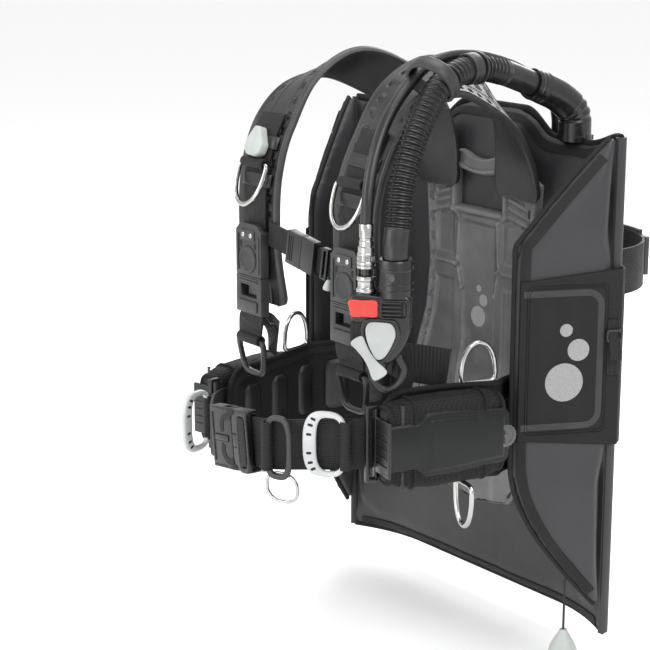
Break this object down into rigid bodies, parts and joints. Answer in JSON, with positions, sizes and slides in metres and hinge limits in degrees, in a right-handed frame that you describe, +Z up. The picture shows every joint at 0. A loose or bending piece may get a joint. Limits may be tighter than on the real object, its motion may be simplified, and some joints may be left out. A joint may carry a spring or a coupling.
{
  "type": "buoyancy compensator vest",
  "caption": "Back-inflation diving vest with moulded backplate, shoulder straps, waist belt, weight pockets, inflator and corrugated hose.",
  "frame": {"origin": "centre of the flat face of the tank pad that the cylinder band bears against", "axes": "+Z up along the diver's back, +Y back out of the tank pad towards the tank, so the diver faces -Y; +X is the diver's left"},
  "size_m": [0.4392, 0.5529, 0.6145],
  "materials": {
    "shell_fabric": "coated nylon with a low satin sheen, black binding tape along its edges",
    "tank_rubber": "matt ribbed rubber sheet",
    "pocket_fabric": "woven nylon and open mesh",
    "webbing": "ribbed nylon webbing",
    "elastomer": "satin moulded elastomer with lighter worn ridges",
    "black_plastic": "moulded, fine grain",
    "hose_rubber": "smooth black rubber",
    "steel": "polished stainless steel with fine scratches",
    "white_plastic": "moulded, slightly glossy",
    "grey_plastic": "moulded, slightly glossy",
    "pale_plastic": "moulded, pale grey-green",
    "red_plastic": "moulded, coral red",
    "cover_gloss": "dark gloss moulding",
    "cord": "braided nylon cord"
  },
  "bodies": {
    "vest": {"tank_pad": "tank_rubber", "air_cell_back": "shell_fabric", "air_cell_flap_left": "shell_fabric", "air_cell_flap_right": "shell_fabric", "side_band_left": "shell_fabric", "side_band_right": "shell_fabric", "backplate": "elastomer", "tank_band": "webbing", "cam_buckle_frame": "black_plastic", "shoulder_strap_left": "elastomer", "shoulder_strap_right": "elastomer", "shoulder_webbing_left": "webbing", "shoulder_webbing_right": "webbing", "shoulder_buckle_female_left": "elastomer", "shoulder_buckle_female_right": "elastomer", "shoulder_buckle_male_left": "elastomer", "shoulder_buckle_male_right": "elastomer", "chest_webbing_right": "webbing", "chest_webbing_left": "webbing", "chest_buckle_male": "black_plastic", "belt_webbing_left": "webbing", "belt_webbing_right": "webbing", "belt_buckle_male": "black_plastic", "waist_pad_left": "pocket_fabric", "waist_pad_right": "pocket_fabric", "lower_webbing_left": "webbing", "lower_webbing_right": "webbing", "weight_pocket_left": "pocket_fabric", "weight_pocket_right": "pocket_fabric", "inflator_body": "black_plastic", "mouthpiece": "hose_rubber", "lp_coupler": "steel", "corrugated_hose": "hose_rubber", "hose_elbow": "black_plastic", "lp_hose": "hose_rubber", "lp_fitting": "steel", "hose_keeper": "hose_rubber", "rear_dump_valve": "black_plastic"},
    "shoulder_dring_left": {"shoulder_dring_left": "steel"},
    "pull_ring_left": {"pull_ring_left": "grey_plastic"},
    "waist_dring_left": {"waist_dring_left": "steel"},
    "lower_dring_left": {"lower_dring_left": "steel"},
    "shoulder_dring_right": {"shoulder_dring_right": "steel"},
    "pull_ring_right": {"pull_ring_right": "grey_plastic"},
    "waist_dring_right": {"waist_dring_right": "steel"},
    "lower_dring_right": {"lower_dring_right": "steel"},
    "belt_dring_left": {"belt_dring_left": "white_plastic"},
    "belt_dring_right": {"belt_dring_right": "white_plastic"},
    "belt_dring_grey": {"belt_dring_grey": "grey_plastic"},
    "inflate_button": {"inflate_button": "red_plastic"},
    "deflate_button": {"deflate_button": "pale_plastic"},
    "lp_collar": {"lp_collar": "steel"},
    "cam_lever": {"cam_lever": "black_plastic"},
    "weight_pouch_left": {"weight_pouch_left": "cover_gloss"},
    "weight_pouch_right": {"weight_pouch_right": "cover_gloss"},
    "belt_buckle_half": {"belt_buckle_female": "black_plastic"},
    "chest_buckle_half": {"chest_buckle_female": "black_plastic"},
    "shoulder_dump_knob": {"shoulder_dump_knob": "pale_plastic"},
    "rear_dump_pull": {"dump_cord": "cord", "dump_knob": "pale_plastic"}
  },
  "joints": [
    {"name": "shoulder_dring_left_swing", "type": "hinge", "parent": "vest", "child": "shoulder_dring_left", "pos_m": [0.0803, -0.27479, 0.19186], "axis": [-1, 0, 0], "range_deg": [0, 80]},
    {"name": "pull_ring_left_swing", "type": "hinge", "parent": "vest", "child": "pull_ring_left", "pos_m": [0.085, -0.278, 0.008], "axis": [-1, 0, 0], "range_deg": [0, 80]},
    {"name": "waist_dring_left_swing", "type": "hinge", "parent": "vest", "child": "waist_dring_left", "pos_m": [0.14971, -0.1728, -0.00423], "axis": [0.2249, 0.9744, 0], "range_deg": [0, 60]},
    {"name": "lower_dring_left_swing", "type": "hinge", "parent": "vest", "child": "lower_dring_left", "pos_m": [0.1691, -0.20574, -0.09571], "axis": [0.9744, -0.2249, 0], "range_deg": [-60, 60]},
    {"name": "shoulder_dring_right_swing", "type": "hinge", "parent": "vest", "child": "shoulder_dring_right", "pos_m": [-0.0803, -0.27479, 0.19186], "axis": [-1, 0, 0], "range_deg": [0, 80]},
    {"name": "pull_ring_right_swing", "type": "hinge", "parent": "vest", "child": "pull_ring_right", "pos_m": [-0.085, -0.278, 0.008], "axis": [-1, 0, 0], "range_deg": [0, 80]},
    {"name": "waist_dring_right_swing", "type": "hinge", "parent": "vest", "child": "waist_dring_right", "pos_m": [-0.14971, -0.1728, -0.03237], "axis": [0.2249, -0.9744, 0], "range_deg": [0, 60]},
    {"name": "lower_dring_right_swing", "type": "hinge", "parent": "vest", "child": "lower_dring_right", "pos_m": [-0.1691, -0.20574, -0.12929], "axis": [-0.9744, -0.2249, 0], "range_deg": [-60, 60]},
    {"name": "belt_dring_left_swing", "type": "hinge", "parent": "vest", "child": "belt_dring_left", "pos_m": [0.11729, -0.31025, -0.05139], "axis": [0, 0, 1], "range_deg": [0, 50]},
    {"name": "belt_dring_right_swing", "type": "hinge", "parent": "vest", "child": "belt_dring_right", "pos_m": [-0.11729, -0.31025, -0.07861], "axis": [0, 0, -1], "range_deg": [-30, 18]},
    {"name": "belt_dring_grey_swing", "type": "hinge", "parent": "vest", "child": "belt_dring_grey", "pos_m": [0.05129, -0.35542, -0.05912], "axis": [0, 0, -1], "range_deg": [0, 75]},
    {"name": "inflate_button_press", "type": "slide", "parent": "vest", "child": "inflate_button", "axis": [-0.7071, 0.7071, 0], "range_m": [0, 0.003], "stiffness_N_per_m": 600, "springref_m": -0.003},
    {"name": "deflate_button_press", "type": "slide", "parent": "vest", "child": "deflate_button", "axis": [-0.7071, 0.7071, 0], "range_m": [0, 0.0025], "stiffness_N_per_m": 600, "springref_m": -0.003},
    {"name": "lp_collar_slide", "type": "slide", "parent": "vest", "child": "lp_collar", "axis": [0, 0, 1], "range_m": [0, 0.005], "stiffness_N_per_m": 800, "springref_m": -0.004},
    {"name": "cam_lever_swing", "type": "hinge", "parent": "vest", "child": "cam_lever", "pos_m": [-0.024, 0.1849, 0.06], "axis": [0, 0, 1], "range_deg": [0, 100]},
    {"name": "weight_pouch_left_slide", "type": "slide", "parent": "vest", "child": "weight_pouch_left", "axis": [-0.2249, -0.9744, 0], "range_m": [0, 0.13]},
    {"name": "weight_pouch_right_slide", "type": "slide", "parent": "vest", "child": "weight_pouch_right", "axis": [0.2249, -0.9744, 0], "range_m": [0, 0.13]},
    {"name": "belt_buckle_release", "type": "slide", "parent": "vest", "child": "belt_buckle_half", "axis": [-0.9929, 0, -0.1192], "range_m": [0, 0.019]},
    {"name": "chest_buckle_release", "type": "slide", "parent": "vest", "child": "chest_buckle_half", "axis": [-0.9877, 0, 0.1564], "range_m": [0, 0.02]},
    {"name": "shoulder_dump_pull", "type": "slide", "parent": "vest", "child": "shoulder_dump_knob", "axis": [0, -0.9404, 0.3401], "range_m": [0, 0.012], "stiffness_N_per_m": 300, "springref_m": -0.004},
    {"name": "rear_dump_pull", "type": "slide", "parent": "vest", "child": "rear_dump_pull", "axis": [0, 0, -1], "range_m": [0, 0.012], "stiffness_N_per_m": 300, "springref_m": -0.004}
  ]
}
